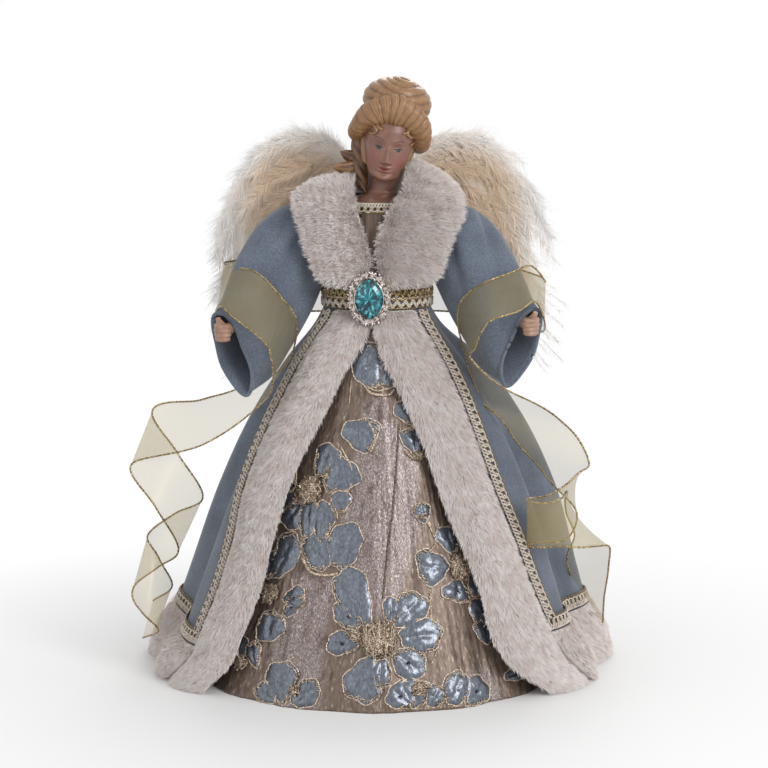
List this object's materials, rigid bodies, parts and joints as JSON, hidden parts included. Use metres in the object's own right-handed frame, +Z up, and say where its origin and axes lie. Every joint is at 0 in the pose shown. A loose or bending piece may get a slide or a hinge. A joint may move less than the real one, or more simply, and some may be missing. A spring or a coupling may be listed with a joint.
{
  "type": "angel tree topper",
  "caption": "Standing robed angel for the tip of a holiday tree: hollow cone base, fur-trimmed coat over a brocade skirt, wired arms, feather wings and a draped ribbon.",
  "frame": {"origin": "centre of the figure's outline on the ground, at the foot of the cone", "axes": "+Z up the figure, the face looks along -Y, +X is the viewer's right"},
  "size_m": [0.3236, 0.2547, 0.3882],
  "materials": {
    "card": "matte paperboard",
    "calico": "stuffed calico",
    "gold_brocade": "champagne lame brocade",
    "blue_felt": "matte felt",
    "white_fur": "short plush pile",
    "cream_braid": "gimp braid with gilt edges",
    "gold_braid": "metallic gimp braid",
    "painted_face": "painted, satin",
    "moulded_hair": "painted, satin",
    "filigree": "silver-gilt plate",
    "teal_gem": "faceted acrylic",
    "steel_wire": "bright wire",
    "feather": "marabou down",
    "organza": "sheer metallic weave"
  },
  "bodies": {
    "figure": {"support_cone": "card", "gold_skirt": "gold_brocade", "coat_skirt": "blue_felt", "torso_form": "calico", "bodice": "gold_brocade", "coat_bodice": "blue_felt", "head_bust": "painted_face", "hair_updo": "moulded_hair", "fur_collar": "white_fur", "fur_hem": "white_fur", "braid_hem": "cream_braid", "neckline_braid": "cream_braid", "belt_cream_braid": "cream_braid", "belt_gold_braid": "gold_braid", "brooch_setting": "filigree", "brooch_gem": "teal_gem", "shoulder_wire": "steel_wire", "wing_mount": "card", "fur_front_left": "white_fur", "fur_front_right": "white_fur", "braid_front_left": "cream_braid", "braid_front_right": "cream_braid"},
    "arm_left": {"arm_wire_left": "steel_wire", "hand_left": "painted_face", "sleeve_left": "blue_felt", "ribbon_left": "organza"},
    "arm_right": {"arm_wire_right": "steel_wire", "hand_right": "painted_face", "sleeve_right": "blue_felt", "ribbon_right": "organza"},
    "wing_left": {"wing_wire_left": "steel_wire", "wing_card_left": "card", "wing_fluff_left": "feather", "wing_flights_left": "feather"},
    "wing_right": {"wing_wire_right": "steel_wire", "wing_card_right": "card", "wing_fluff_right": "feather", "wing_flights_right": "feather"}
  },
  "joints": [
    {"name": "arm_left_lift", "type": "hinge", "parent": "figure", "child": "arm_left", "pos_m": [-0.04418, -0.003, 0.29012], "axis": [0, 1, 0], "range_deg": [0, 20], "deforming": ["ribbon_left"]},
    {"name": "arm_right_lift", "type": "hinge", "parent": "figure", "child": "arm_right", "pos_m": [0.04418, -0.003, 0.29012], "axis": [0, -1, 0], "range_deg": [0, 20], "deforming": ["ribbon_right"]},
    {"name": "wing_left_sweep", "type": "hinge", "parent": "figure", "child": "wing_left", "pos_m": [-0.008, 0.03431, 0.28292], "axis": [0, 0, -1], "range_deg": [0, 30]},
    {"name": "wing_right_sweep", "type": "hinge", "parent": "figure", "child": "wing_right", "pos_m": [0.008, 0.03431, 0.28292], "axis": [0, 0, 1], "range_deg": [0, 30]}
  ]
}
